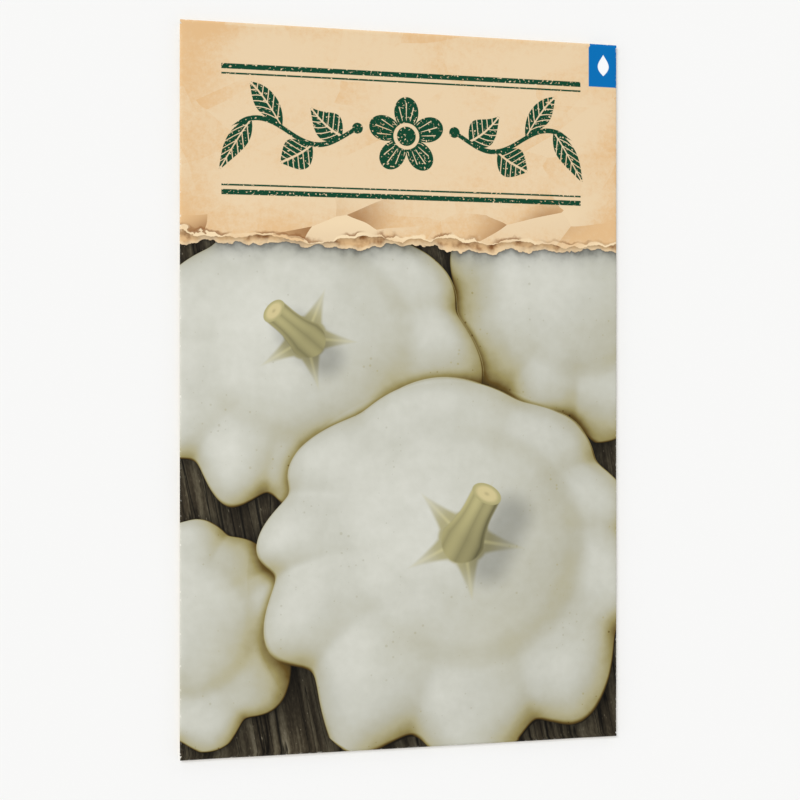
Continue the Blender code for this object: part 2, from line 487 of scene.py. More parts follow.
def folding_tree(sizes, folds):
    """Folds the flat sheet round its sides and ends, and lets the front rise over the seeds."""
    rise = THICKNESS - folds.front_level - sizes.paper / 2
    inputs = {"Rise": rise, "Dent": sizes.dent, "Ripple": sizes.ripple, "Buckle": sizes.buckle, "Seeds": None}
    tree, g, given = geometry_graph("fold the sheet", inputs)
    across, along, _ = g.add("GeometryNodeInputPosition").parts()
    aside = abs(across)
    away = abs(along)
    x, side_level = turned_over(aside, folds.flat_x, sizes.side_radius, folds.wing_level)
    y, end_level = turned_over(away, folds.flat_y, folds.end_radius, folds.flap_level)
    x = x * across.sign()
    y = y * along.sign()

    # The left wing climbs a step to lie inside the right one.
    seam_edge = -sizes.seam_overlap / 2 - sizes.seam_margin
    on_left_wing = across.below(-folds.flat_x - folds.side_arc)
    climb = x.smooth(seam_edge - sizes.seam_ramp, seam_edge) * on_left_wing
    level = side_level.least(end_level) + climb * (folds.seam_level - folds.wing_level)

    # The end folds reach the bag's corners, and each flap draws in towards its free edge.
    widened = (WIDTH / 2 - sizes.end_inset) / folds.flat_x - 1
    x = x * (1 + widened * away.smooth(folds.flat_y - sizes.notch, folds.flat_y))
    free = (away - (folds.flat_y + folds.end_arc)).most(0)
    share = free / (along.above(0) * (sizes.top_flap - sizes.bottom_flap) + sizes.bottom_flap)
    x = x * (1 - share * share * (sizes.flap_taper / folds.flat_x))

    inset_x = (folds.flat_x - aside).most(0)
    inset_y = (folds.flat_y - away).most(0)
    level = level + front_lift(g, given, across, along, inset_x, inset_y)

    place_on_print = g.join(across * (1 / WIDTH) + 0.5, along * (1 / HEIGHT) + 0.5)
    links = {"Geometry": given["Geometry"], "Name": PRINT_MAP, "Value": place_on_print}
    settings = {"data_type": "FLOAT2", "domain": "CORNER"}
    mapped = g.add("GeometryNodeStoreNamedAttribute", settings, links)
    folded = g.add("GeometryNodeSetPosition", links={"Geometry": mapped, "Position": g.join(x, y, level)})
    return tree, g, folded, inputs


# Places and sizes on the square bake map, whose side is 1.
MAP_MARGIN = 0.01
SIDE_STRIP = 0.635
BOTTOM_FLAP_AT = 0.515
TOP_FLAP_AT = 0.58
INSIDE_AT = 0.655
INSIDE_WIDTH = 0.31
CUT_EDGES_AT = 0.945
EDGE_COLUMNS = 40
EDGE_CELL = (0.0089, 0.0032)
EDGE_CELL_USED = 0.85


def lay_out_bake_map(mesh, faces, sizes, folds):
    """Lays the bag out on one square map: the front large, then wings, flaps, inside and cut edges.

    The mesh holds the sheet's faces twice, first outside and then inside, and then the faces of its edges.
    """
    starts = np.empty(len(mesh.polygons), np.int32)
    mesh.polygons.foreach_get("loop_start", starts)
    sheet = np.empty(2 * len(mesh.loops), np.float32)
    mesh.uv_layers[PRINT_MAP].uv.foreach_get("vector", sheet)
    sheet = (sheet.reshape(-1, 2) - 0.5) * (WIDTH, HEIGHT)
    face = np.searchsorted(starts, np.arange(len(mesh.loops)), side="right") - 1
    corner = np.arange(len(mesh.loops)) - starts[face]
    totals = np.append(starts[1:], len(mesh.loops)) - starts
    middle = (np.add.reduceat(sheet, starts) / totals[:, None])[face]
    outside = face < faces
    inside = ~outside & (face < 2 * faces)
    edge_x = folds.flat_x + folds.side_arc
    edge_y = folds.flat_y + folds.end_arc
    wing = np.sign(middle[:, 0]) * (abs(middle[:, 0]) > edge_x)
    flap = np.sign(middle[:, 1]) * (abs(middle[:, 1]) > edge_y)
    full_x = edge_x + folds.wing_reach
    low_y = -edge_y - sizes.bottom_flap
    front_scale = (1 - 2 * MAP_MARGIN) / (2 * edge_y)
    wing_scale = (0.5 * (1 - MAP_MARGIN - SIDE_STRIP) - MAP_MARGIN / 4) / folds.wing_reach
    flap_scale = (1 - MAP_MARGIN - SIDE_STRIP) / (2 * edge_x)
    inside_scale = INSIDE_WIDTH / (2 * full_x)
    middle_strip = SIDE_STRIP + folds.wing_reach * wing_scale + MAP_MARGIN / 2
    parts = (
        (outside & (wing == 0) & (flap == 0), (-edge_x, -edge_y), (MAP_MARGIN, MAP_MARGIN), front_scale),
        (outside & (wing < 0), (-full_x, -folds.flat_y), (SIDE_STRIP, MAP_MARGIN), wing_scale),
        (outside & (wing > 0), (edge_x, -folds.flat_y), (middle_strip, MAP_MARGIN), wing_scale),
        (outside & (flap < 0), (-edge_x, low_y), (SIDE_STRIP, BOTTOM_FLAP_AT), flap_scale),
        (outside & (flap > 0), (-edge_x, edge_y), (SIDE_STRIP, TOP_FLAP_AT), flap_scale),
        (inside, (-full_x, low_y), (SIDE_STRIP, INSIDE_AT), inside_scale),
    )
    spots = np.zeros_like(sheet)
    for chosen, low, place, scale in parts:
        spots[chosen] = place + (sheet[chosen] - low) * scale
    edge = ~outside & ~inside
    row, column = np.divmod(face[edge] - 2 * faces, EDGE_COLUMNS)
    step = np.array(((0, 0), (1, 0), (1, 1), (0, 1)))[corner[edge]] * EDGE_CELL_USED
    spots[edge] = (SIDE_STRIP, CUT_EDGES_AT) + (np.stack((column, row), 1) + step) * EDGE_CELL
    layer = mesh.uv_layers.new(name=BAKE_MAP)
    layer.uv.foreach_set("vector", spots.astype(np.float32).ravel())


# Picture of a heap of squashes on old boards, in millimetres from the middle of the front


class Squash(NamedTuple):
    """A squash seen from above at a slant. Its crown leans away from the eye, towards an angle in degrees.

    stem is the angle at which its stem lies, or None where the stem is out of sight.
    """

    x: float
    y: float
    radius: float
    lobes: int
    turn: float
    lean: float
    towards: float
    stem: float | None = None


PICTURE = (
    Squash(x=35, y=17, radius=29, lobes=8, turn=0.8, lean=0.16, towards=70),
    Squash(x=-44, y=-48, radius=23, lobes=9, turn=0.2, lean=0.12, towards=100),
    Squash(x=-19, y=4, radius=34, lobes=9, turn=1.9, lean=0.20, towards=105, stem=140),
    Squash(x=10, y=-38, radius=42, lobes=10, turn=0.35, lean=0.21, towards=80, stem=62),
)
SCALLOP = 0.085
CROWN = 0.60
CROWN_FALL = 0.72
RIM = 0.33
RIM_AT = 0.76
RIM_BLEND = 0.12
FURROW = 0.07
RIDGE_ROUNDING = 0.06
SHADE_STEP = 0.3
LIGHT = Vector((-0.40, 0.46, 0.79)).normalized()
SHADOW_RIGHT = 2.4
SHADOW_DOWN = 3.0
EDGE_BLUR = 0.12
SKIN_TONES = (
    (0.0, "17120A"),
    (0.2, "5E4A20"),
    (0.38, "948959"),
    (0.54, "AEA888"),
    (0.7, "B7B5A3"),
    (0.86, "C5C5B9"),
    (1.0, "D6D6CC"),
)
PLACE = ("X", "Y")
SHAPE = ("Scale", "Cosine", "Sine", "Slant cosine", "Slant sine", "Lean", "Lobes", "Turn")
PAINTED = ("Tone", "Skin", "Wood light")


def shape_of(squash):
    """The numbers that shape a squash, for the node groups."""
    slant = math.atan(squash.lean / CROWN)
    numbers = (
        1 / squash.radius,
        *direction(squash.towards),
        math.cos(slant),
        math.sin(slant),
        squash.lean,
        squash.lobes / 2,
        squash.turn,
    )
    return dict(zip(SHAPE, numbers))


def squash_form(g, given):
    """How far out a place is, 1 at the scalloped rim, how near to the eye the skin is, and its valleys."""
    x, y, scale, cosine, sine, slant_cosine, slant_sine, lean, lobes, turn = (
        given[name] for name in (*PLACE, *SHAPE)
    )
    up, side = turned(x * scale, y * scale, cosine, sine)
    up = up / slant_cosine
    square = up * up + side * side
    up = up - lean * (1 - square * square).most(0)
    reach = distance(up, side)
    angle = g.math("ARCTAN2", side, up) + turn
    angle = angle + (angle * 2 + turn * 5).sine() * 0.10 + (angle * 3 - turn).cosine() * 0.05
    ridge = (angle * lobes).cosine()
    lowest = math.sqrt(RIDGE_ROUNDING)
    highest = math.sqrt(RIDGE_ROUNDING + 1)
    ridge = ((ridge * ridge + RIDGE_ROUNDING).root() - lowest) * (1 / (highest - lowest))
    uneven = (angle * 2 - turn * 3).cosine() * 0.025
    share = reach / (1 - (SCALLOP * (1 - ridge) - uneven) * reach.smooth(0.3, 0.95))
    outer = ((share - RIM_AT) * (1 / (1 - RIM_AT))).most(0)
    inner = (RIM_AT - share).most(0)
    square = outer * outer
    furrow = (1 - ridge) * share.smooth(0.5, 0.9) * FURROW
    rim = (1 - square * square).most(0).root() * RIM - inner * inner * 1.3 - furrow
    crown = CROWN - share * share * CROWN_FALL
    near = crown.smooth_most(rim, RIM_BLEND) * slant_cosine - up * slant_sine
    valley = (1 - abs(crown - rim) * 6).most(0).most((1 - ridge) * share.smooth(0.6, 0.95) * 0.7)
    return share, near / scale, valley


def squash_painter(form):
    """A group that lays a squash and its shadow over the picture so far."""
    gain = 1 / SHADE_STEP

    def paint_squash(g, given):
        here = {name: given[name] for name in (*PLACE, *SHAPE)}
        share, near, valley = g.use(form, here)
        share_right, near_right, _ = g.use(form, here | {"X": given["X"] + SHADE_STEP})
        share_above, near_above, _ = g.use(form, here | {"Y": given["Y"] + SHADE_STEP})
        slope_x = (near_right - near) * gain
        slope_y = (near_above - near) * gain
        facing = 1 / (slope_x * slope_x + slope_y * slope_y + 1).root()
        lit = ((LIGHT.z - slope_x * LIGHT.x - slope_y * LIGHT.y) * facing + 0.45).most(0) * (1 / 1.45)
        own = lit * 0.58 + 0.37 - valley * (1.2 - lit) * 0.18
        own = own - share.smooth(0.985, 1.0) * (1.2 - lit) * 0.3

        # The shadow falls down and to the right, so it is the rim's share a little way up and to the left.
        there = share - (share_right - share) * (SHADOW_RIGHT * gain)
        there = there + (share_above - share) * (SHADOW_DOWN * gain)
        shadow = there.smooth(1.32, 0.9)
        touch = share.smooth(1.08, 0.99)
        shaded = (1 - shadow * 0.5) * (1 - touch * touch * 0.5)
        edge = given["Scale"] * EDGE_BLUR
        mask = ((1 + edge - share) / (edge * 2)).smooth(0, 1)
        tone = given["Tone"] * shaded
        tone = tone + (own - tone) * mask
        return tone, given["Skin"].most(mask), given["Wood light"] * shaded

    return shader_group("lay a squash", paint_squash, (*PLACE, *SHAPE, *PAINTED), PAINTED)


STEM = ("Cosine", "Sine", "Light across")
STEM_PARTS = ("Star", "Rays", "Shadow", "Shaft", "Body", "End", "Rim")
STEM_LENGTH = 3.2
STEM_HALF = 0.075
STEM_SHADOW = 1.55


def stem_form(g, given):
    """Masks of a short ribbed stem seen at a slant, with the star that it grows from. Its half width is 1."""
    x, y, cosine, sine, light_across = (given[name] for name in (*PLACE, *STEM))
    along, across = turned(x, y, cosine, sine)
    reach = distance(x, y)
    angle = g.math("ARCTAN2", across, along)
    spokes = (angle * 5).cosine()
    off_arm = reach * abs((angle * 2.5).sine()) * 0.4
    star = ((3.9 - reach) * 0.28 - off_arm).most(1.7 - reach).smooth(-0.14, 0.14)
    star = star * (reach.smooth(3.4, 1.5) * 0.5 + 0.4)
    rays = off_arm.smooth(0.2, 0.0)
    past = (along - along.most(0).least(STEM_LENGTH)) * 0.9
    flare = (1 - along * (1 / 2.2)).most(0).least(1)
    half = 1 + flare * flare * 0.45
    aside = across / half
    shaft = (distance(past, across) - half).smooth(0.07, -0.07) * along.below(STEM_LENGTH)
    ribs = abs((aside.least(1).most(-1).arcsine() * 3.5 + 0.4).sine())
    body = 0.72 + aside * light_across * 0.5 - aside * aside * 0.22 + ribs * 0.28
    body = body * (1 - flare * 0.18)
    tip = (along - STEM_LENGTH) * (1 / 0.6)
    end = distance(tip, across) * (1 + spokes * 0.02)
    down, off = turned(x - STEM_SHADOW, y + STEM_SHADOW, cosine, sine)
    shadow = distance(down - down.most(0).least(STEM_LENGTH), off).smooth(2.3, 0.4)
    return star, rays, shadow, shaft, body, end, end.smooth(0.55, 0.95)


def lay_stem(g, under, x, y, squash, form, colours):
    """Paints a squash's stem over its crown, with the star that it grows from and its shadow."""
    shift = squash.radius * squash.lean * math.cos(math.atan(squash.lean / CROWN))
    towards_x, towards_y = direction(squash.towards)
    cosine, sine = direction(squash.stem)
    size = squash.radius * STEM_HALF
    values = {
        "X": (x - squash.x - shift * towards_x) * (1 / size),
        "Y": (y - squash.y - shift * towards_y) * (1 / size),
        "Cosine": cosine,
        "Sine": sine,
        "Light across": LIGHT.y * cosine - LIGHT.x * sine,
    }
    star, rays, shadow, shaft, body, end, rim = g.use(form, values)
    skin = g.shade(under, 1 - shadow * 0.38)
    skin = g.mix(star, skin, g.shade(colours.stem, 0.95 - shadow * 0.4 + rays * 0.3))
    stem = g.mix(shaft, skin, g.shade(colours.stem, body * 1.1))
    cut = g.shade(g.mix(rim, colours.stem_cut, colours.stem), 1.05 - end.smooth(0.3, 0.0) * 0.25)
    return g.mix(end.smooth(1.06, 0.98), stem, cut)


BOARD_TILT = 10
BOARD_WIDTH = 27
WOOD_TONES = ((0.25, "241F16"), (0.45, "443C2E"), (0.62, "665E4B"), (1.0, "A39A84"))


def planks(g, x, y):
    """Old dark boards with cracks and fine glints."""
    p, q = turned(x, y, *direction(BOARD_TILT))
    board = p * (1 / BOARD_WIDTH) + 0.37
    gap = abs(board.part() - 0.5).smooth(0.482, 0.5)
    seed = board.whole() * 7.3
    warp = g.noise(p, q * 0.5, 26, 1, seed=seed) * 5
    grain = g.noise(p + warp, q * 0.05, 1.3, 4, seed=seed)
    crack = abs(g.noise(p + warp, q * 0.035, 2.6, 2, seed=seed + 3) - 0.5).smooth(0.02, 0.0)
    glint = g.noise(p * 2.5, q * 0.6, 0.8, 2, seed=2).smooth(0.66, 0.8)
    tone = grain + glint * 0.6 + (g.noise(p, q * 0.3, 0.35, 2, seed=5) - 0.5) * 0.3
    wood = g.ramp(tone, WOOD_TONES)
    return g.shade(wood, 1 - 0.85 * gap.most(crack))


def squash_picture(g, x, y, colours):
    form = shader_group("squash form", squash_form, (*PLACE, *SHAPE), ("Share", "Near", "Valley"))
    painter = squash_painter(form)
    painted = (0, 0, 1)
    for squash in PICTURE:
        place = {"X": x - squash.x, "Y": y - squash.y}
        painted = g.use(painter, place | shape_of(squash) | dict(zip(PAINTED, painted)))
    tone, skin, wood_light = painted
    clouds = g.noise(x, y, 9, 4, seed=1) - 0.5
    dapple = g.noise(x, y, 1.9, 3, seed=2) - 0.5
    links = {"Vector": g.join(x, y), "Scale": 1 / 1.5}
    settings = {"voronoi_dimensions": "2D"}
    chance = g.add("ShaderNodeTexVoronoi", settings, links, output=1).parts()[0]
    size = (chance - clouds * 1.6).smooth(0.62, 1.5) * 0.3
    speck = ((size - g.add("ShaderNodeTexVoronoi", settings, links)) * 12).smooth(0, 1)
    tone = tone + clouds * 0.2 + dapple * 0.09 - speck * 0.13
    wood = g.shade(planks(g, x, y), wood_light)
    picture = g.mix(skin, wood, g.ramp(tone, SKIN_TONES))
    stem = shader_group("stem", stem_form, (*PLACE, *STEM), STEM_PARTS)
    for squash in PICTURE:
        if squash.stem is not None:
            picture = lay_stem(g, picture, x, y, squash, stem, colours)
    return picture


# Printed header, tab and back, in millimetres from the middle of the front


HEADER_FROM = 30.0
ORNAMENT_Y = 51.0
ORNAMENT_REACH = 36.0
WAVE_LENGTH = 24.0
WAVE_HEIGHT = 2.4
BUD_PLACE = (10.0, 1.2)
BUD_RADIUS = 1.1
LEAF_LENGTH = 9.8
LEAF_WIDTH = 2.8
LEAF_TURN = 48
LEAF_GAP = 12.0
LEAF_VEIN_GAP = 1.5
PETAL_FROM = 3.0
PETAL_LENGTH = 4.9
FLOWER_RING = 2.3
THICK_RULE = 12.3
THIN_RULE = 10.9
INK_EDGE = 0.06


def inked(depth):
    """1 where the depth inside an outline is above 0, and 0 outside, with a slightly soft edge."""
    return depth.smooth(-INK_EDGE, INK_EDGE)


def line(away, width):
    """Ink of a line of a given width, in the middle of which the distance away is 0."""
    return inked(width / 2 - abs(away))


def leaf(across, along):
    """1 inside a pointed leaf, less its veins. It runs along its middle line from 0."""
    share = (along * (1 / LEAF_LENGTH)).most(0).least(1)
    half = (share * math.pi).sine() * LEAF_WIDTH * (1.15 - share * 0.5)
    inside = inked(half - abs(across)) * along.above(0) * along.below(LEAF_LENGTH)
    middle = abs(across).smooth(0.1, 0.22)
    veins = ((along - abs(across) * 0.9) * (2 * math.pi / LEAF_VEIN_GAP)).cosine().smooth(0.93, 0.8)
    return inside * middle * veins


def garland(x, y):
    """Ink of a waving stem with leaves on both sides, the same on the left and the right."""
    q = abs(x)
    rise = y - (q * (2 * math.pi / WAVE_LENGTH)).sine() * WAVE_HEIGHT
    ends = q.smooth(8.5, 11) * q.smooth(ORNAMENT_REACH, ORNAMENT_REACH - 4)
    bud = BUD_RADIUS - distance(q - BUD_PLACE[0], y - BUD_PLACE[1])
    ink = inked((ends * 0.58 - 0.08 - abs(rise)).most(bud))
    for first, turn in ((13.0, LEAF_TURN), (19.0, -LEAF_TURN)):
        step = ((q - first + 4) * (1 / LEAF_GAP)).part() * LEAF_GAP - 4
        root = q - step
        along, across = turned(step, rise, *direction(turn))
        ink = ink.most(leaf(across, along) * root.above(12) * root.below(ORNAMENT_REACH - 3))
    return ink


def blossom(g, x, y):
    """Ink of a five-petalled flower seen from above."""
    reach = distance(x, y)
    angle = g.math("ARCTAN2", x, y)
    outline = abs((angle * 2.5).cosine()) ** 0.7 * PETAL_LENGTH + PETAL_FROM
    ring = line(reach - FLOWER_RING, 0.72)
    vein = abs((angle * 12.5).sine()).smooth(0.3, 0.14)
    vein = vein * reach.smooth(PETAL_FROM, PETAL_FROM + 0.4) * inked(outline - 1.2 - reach)
    return inked(outline - reach) * (1 - ring) * (1 - vein)


def rules(x, y):
    """Ink of a thick and a thin line above and below the ornament."""
    away = abs(y)
    both = line(away - THICK_RULE, 1.04).most(line(away - THIN_RULE, 0.36))
    return both * abs(x).below(ORNAMENT_REACH + 1)


def ornament(g, x, y):
    """Ink of the garland, the flower and the lines, round the middle of the ornament."""

    def draw(g, given):
        x, y = given["X"], given["Y"]
        return (garland(x, y).most(blossom(g, x, y)).most(rules(x, y)),)

    return g.use(shader_group("ornament", draw, PLACE, ("Ink",)), {"X": x, "Y": y})[0]


CREASE_TILT = 18
CREASE_GAP = 8.0


def facets(g, x, y, size, seed):
    """Light on crumpled paper, about -0.5 to 0.5: flat faces between creases, each with its own slope."""
    across = (x + g.noise(x, y, size, 1, seed=seed) * size * 0.4) * (1 / size)
    along = (y + g.noise(x, y, size, 1, seed=seed + 1) * size * 0.4) * (1 / size) + seed
    links = {"Vector": g.join(across, along), "Scale": 1}
    faces = g.node("ShaderNodeTexVoronoi", {"voronoi_dimensions": "2D"}, links)
    slope_x, slope_y, _ = Field(g, faces.outputs["Color"]).parts()
    middle_x, middle_y, _ = Field(g, faces.outputs["Position"]).parts()
    return (slope_x - 0.5) * (across - middle_x) + (slope_y - 0.5) * (along - middle_y)


def kraft_paper(g, x, y, tear, colours):
    """Brown paper, crumpled all over and more so near its torn edge, and darker near its edges."""
    near_tear = tear.smooth(12, 0.5)
    near_side = (WIDTH / MM / 2 - abs(x)).smooth(14, 0)
    near_top = (HEIGHT / MM / 2 - y).smooth(5, 0)
    p, q = turned(x, y, *direction(CREASE_TILT))
    fold = facets(g, p * 0.4, q, CREASE_GAP, 24)
    tone = g.noise(x, y, 17, 3, seed=7) * 0.9 + g.noise(x, y, 1.2, 3, seed=8) * 0.7 - 0.3
    tone = tone + g.noise(x, y, 0.4, 2, seed=9) * 0.4
    tone = tone + fold * (near_tear * 1.4 + 0.7) + facets(g, x, y, 14, 12) * 0.6
    tone = tone - near_side * 0.42 - near_top * 0.25 - near_tear * 0.3
    paper = g.mix(tone.smooth(-0.1, 0.75), colours.kraft_shade, colours.kraft)
    folded = near_tear * tear.above(0.4)
    paper = g.mix(fold.smooth(-0.06, -0.38) * folded, paper, colours.kraft_crease)
    return g.mix(fold.smooth(0.15, 0.45) * folded * 0.6, paper, colours.kraft_lip)


def torn_edge(g, x, y, seed, ragged):
    """Millimetres above the header's torn edge, which wanders slowly and is ragged close up."""
    slow = (g.noise(x, 0, 13, 2, seed=seed) - 0.5) * 8
    return y - HEADER_FROM + slow + (g.noise(x, y, 2.2, 3, seed=seed + 1) - 0.5) * ragged


def front_tear(g, x, y):
    return torn_edge(g, x, y, 4, 1.7)


def torn_header(g, x, y, colours):
    """Two torn strips of brown paper, one behind the other, over the picture."""
    under = squash_picture(g, x, y, colours)
    tear = front_tear(g, x, y)
    behind = torn_edge(g, x + 6, y, 14, 2.2) + 1.5
    shadow = (behind.most(tear) * (1 / 1.3)).least(0).exponential() * 0.8
    ground = g.shade(under, 1 - shadow)
    lower = g.mix(g.noise(x, y, 2.6, 3, seed=16).smooth(0.3, 0.6), colours.kraft_crease, colours.kraft_shade)
    lower = g.mix(behind.smooth(1.2, 0.1) * 0.6, lower, colours.kraft_lip)
    lower = g.shade(lower, 1 - (tear * 1.1).least(0).exponential() * 0.4)
    ground = g.mix(inked(behind), ground, lower)
    kraft = kraft_paper(g, x, y, tear, colours)
    lip = tear - g.noise(x, y, 3.4, 3, seed=6) * 3.2 + 1.1
    bright = g.noise(x, y, 9, 1, seed=10).smooth(0.4, 0.62) * 0.7 + 0.2
    kraft = g.mix(lip.smooth(0.35, -0.05) * bright, kraft, colours.kraft_lip)
    fold = lip.smooth(0.9, 0.2) * lip.above(0.05) * g.noise(x, y, 6, 1, seed=17).smooth(0.42, 0.6)
    kraft = g.mix(fold * 0.75, kraft, colours.kraft_crease)
    return g.mix(inked(tear), ground, kraft)


def printed_header(g, x, y, colours):
    """Brown paper with the ornament, in slightly worn ink, and the tab in its corner."""
    kraft = kraft_paper(g, x, y, front_tear(g, x, y), colours)
    worn = g.noise(x, y, 0.5, 2, seed=11).smooth(0.68, 0.6)
    drawn = ornament(g, x, y - ORNAMENT_Y)
    return corner_tab(g, g.mix(drawn * worn, kraft, colours.ink), x, y, colours)


TAB_LEFT = 38.8
TAB_BOTTOM = 63.0
TAB_SEED = (42.0, 65.3)
TAB_SEED_LENGTH = 4.4


def corner_tab(g, under, x, y, colours):
    """A plain coloured tab in the top right corner, with a small seed on it."""
    on_tab = inked(x - TAB_LEFT) * inked(y - TAB_BOTTOM)
    share = (y - TAB_SEED[1]) * (1 / TAB_SEED_LENGTH)
    half = (share * math.pi).sine() * (1.55 - share * 0.75)
    seed = inked(half - abs(x - TAB_SEED[0])) * share.above(0) * share.below(1)
    return g.mix(on_tab, under, g.mix(seed, colours.tab, colours.tab_mark))


BORDER_INSET = 4.0
BACK_ORNAMENT_Y = 36.0
MONTHS = 12
MONTH_WIDTH = 6.0
# Middle of a bar, in months from the left, and how many months it covers.
SOWN_MONTHS = (4, 2)
PICKED_MONTHS = (8, 4)
CALENDAR_TOP = 2.0
CALENDAR_ROW = 5.0
NOTES_FROM = -20.0
NOTES_TO = -60.0
NOTES_GAP = 7.0


def printed_back(g, x, y, colours):
    """A double border, the ornament, and a calendar of twelve months with rows for sowing and picking."""
    clouds = g.noise(x, y, 20, 3, seed=20)
    ground = g.mix(clouds.smooth(0.3, 0.75) * 0.25, colours.back, colours.kraft)
    inset = (HEIGHT / MM / 2 - abs(y)).least(WIDTH / MM / 2 - abs(x)) - BORDER_INSET
    ink = line(inset, 0.7).most(line(inset - 1.3, 0.25)).most(ornament(g, x, y - BACK_ORNAMENT_Y))
    half = MONTHS * MONTH_WIDTH / 2
    month = (half - x) * (1 / MONTH_WIDTH)
    row = (CALENDAR_TOP - y) * (1 / CALENDAR_ROW)
    in_calendar = abs(x).below(half + 0.2) * abs(row - 1.5).below(1.54)
    grid_x = (month + 0.5).part() - 0.5
    grid_y = (row + 0.5).part() - 0.5
    grid = line(grid_x * MONTH_WIDTH, 0.25).most(line(grid_y * CALENDAR_ROW, 0.25)) * in_calendar
    in_cell = abs(row.part() - 0.5).below(0.3) * in_calendar
    bars = ((colours.sown, *SOWN_MONTHS), (colours.picked, *PICKED_MONTHS))
    for place, (paint, middle, months) in enumerate(bars):
        bar = in_cell * line(row - (place + 0.5), 0.8) * line(month - middle, months)
        ground = g.mix(bar, ground, paint)
    notes = line(((y * (1 / NOTES_GAP)).part() - 0.5) * NOTES_GAP, 0.2)
    notes = notes * y.below(NOTES_FROM) * y.above(NOTES_TO) * abs(x).below(half)
    return g.mix(ink.most(grid).most(notes * 0.6), ground, colours.ink)


# Materials


TEAR_FROM = 22.0
PLAIN_FROM = 38.0


def paper_grain(g, x, y):
    """Bump of the paper's fibres, for places in millimetres."""
    height = g.noise(x, y, 0.35, 3, seed=30) + g.noise(x, y, 3.5, 2, seed=31)
    return g.bump(height, 0.02 * MM, 0.22)


def fold_middles(folds):
    """Where the print of the front ends and that of the back begins, across and along the sheet."""
    return (folds.flat_x + folds.side_arc / 2) / MM, (folds.flat_y + folds.end_arc / 2) / MM


def turned_over_print(x, y, middle_x, middle_y):
    """A place on the print of the back, which lies where the sheet has turned over."""
    x = x + abs(x).above(middle_x) * (x.sign() * middle_x - x) * 2
    y = y + abs(y).above(middle_y) * (y.sign() * middle_y - y) * 2
    return x, y


def printed_material(name, painter, roughness, colours, folds):
    """The print of one zone of the sheet, with its ink cracked along the folds."""
    material, g, shader = material_graph(name)
    u, v, _ = g.add("ShaderNodeUVMap", {"uv_map": PRINT_MAP}).parts()
    x = (u - 0.5) * (WIDTH / MM)
    y = (v - 0.5) * (HEIGHT / MM)
    middles = fold_middles(folds)
    at_side, at_end = (abs(abs(place) - middle) for place, middle in zip((x, y), middles))
    at_fold = at_side.smooth(0.5, 0.1).most(at_end.smooth(0.7, 0.1))
    cracked = at_fold * g.noise(x, y, 0.9, 3, seed=32).smooth(0.56, 0.66)
    on_print = turned_over_print(x, y, *middles) if painter is printed_back else (x, y)
    paint = g.mix(cracked * 0.7, painter(g, *on_print, colours), colours.bare_paper)
    finish_surface(g, shader, paint, roughness + g.noise(x, y, 9, 2, seed=33) * 0.12, paper_grain(g, x, y))
    shader.inputs["Specular IOR Level"].default_value = 0.08
    return material


def printed_zones(g, colours, folds):
    """The four printed materials, each with the field of the faces that it covers."""
    settings = {"data_type": "FLOAT_VECTOR"}
    u, v, _ = g.add("GeometryNodeInputNamedAttribute", settings, {"Name": PRINT_MAP}).parts()
    across = abs(u - 0.5) * (WIDTH / MM)
    along = (v - 0.5) * (HEIGHT / MM)
    middle_x, middle_y = fold_middles(folds)
    on_back = across.above(middle_x).most(abs(along).above(middle_y))
    zones = (
        ("printed picture", squash_picture, 0.40, True),
        ("printed torn edge", torn_header, 0.45, along.above(TEAR_FROM)),
        ("printed header", printed_header, 0.50, along.above(PLAIN_FROM)),
        ("printed back", printed_back, 0.50, on_back),
    )
    return [
        (printed_material(name, painter, roughness, colours, folds), chosen)
        for name, painter, roughness, chosen in zones
    ]


def place_in_millimetres(g):
    x, y, _ = g.add("ShaderNodeTexCoord", output=3).parts()
    return x * (1 / MM), y * (1 / MM)


def bare_material(colours):
    """Unprinted white paper with short fibres, for the inside and the cut edges."""
    material, g, shader = material_graph("bare paper")
    x, y = place_in_millimetres(g)
    fibres = g.noise(x, y * 0.4, 0.5, 3, seed=34)
    paper = g.mix(fibres.smooth(0.45, 0.75) * 0.3, colours.bare_paper, colours.back)
    finish_surface(g, shader, paper, 0.8 + fibres * 0.1, paper_grain(g, x, y))
    return material


def seed_material(colours):
    """A dull pale seed coat with fine streaks and a few brown stains."""
    material, g, shader = material_graph("seed coat")
    x, y = place_in_millimetres(g)
    streaks = g.noise(x, y, 0.5, 3, seed=35)
    stains = g.noise(x, y, 3.5, 2, seed=36).smooth(0.58, 0.75)
    coat = g.mix(streaks * 0.5, colours.seed_coat, colours.kraft_shade)
    coat = g.mix(stains * 0.5, coat, colours.kraft_crease)
    finish_surface(g, shader, coat, 0.5 + streaks * 0.2, g.bump(streaks, 0.05 * MM))
    return material


def glue_material(colours):
    """Dried glue, yellowish and uneven, smooth where it is thick."""
    material, g, shader = material_graph("dried glue")
    x, y = place_in_millimetres(g)
    blotches = g.noise(x, y, 2.5, 3, seed=37)
    paint = g.mix(blotches, colours.glue, colours.kraft)
    finish_surface(g, shader, paint, 0.25 + blotches * 0.3, g.bump(blotches, 0.04 * MM))
    return material


# Seeds


SEED_MARGIN = 0.88
SEED_NARROWING = 0.30


def seed_places():
    """A mesh with one point at the middle of each seed, and the turn of the seed there."""
    points = []
    turns = []
    for name in SEED_NODES:
        low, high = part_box(name)
        points.append((low + high) / 2)
        spots = np.array([v.co.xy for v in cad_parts[name].data.vertices])
        spots -= spots.mean(0)
        long_way = np.linalg.svd(spots, full_matrices=False)[2][0]
        tip = np.sign(((spots @ long_way) ** 3).sum())
        turns.append(math.atan2(tip * long_way[1], tip * long_way[0]))
    mesh = bpy.data.meshes.new("seed places")
    mesh.from_pydata(points, [], [])
    mesh.attributes.new("turn", "FLOAT", "POINT").data.foreach_set("value", turns)
    return mesh


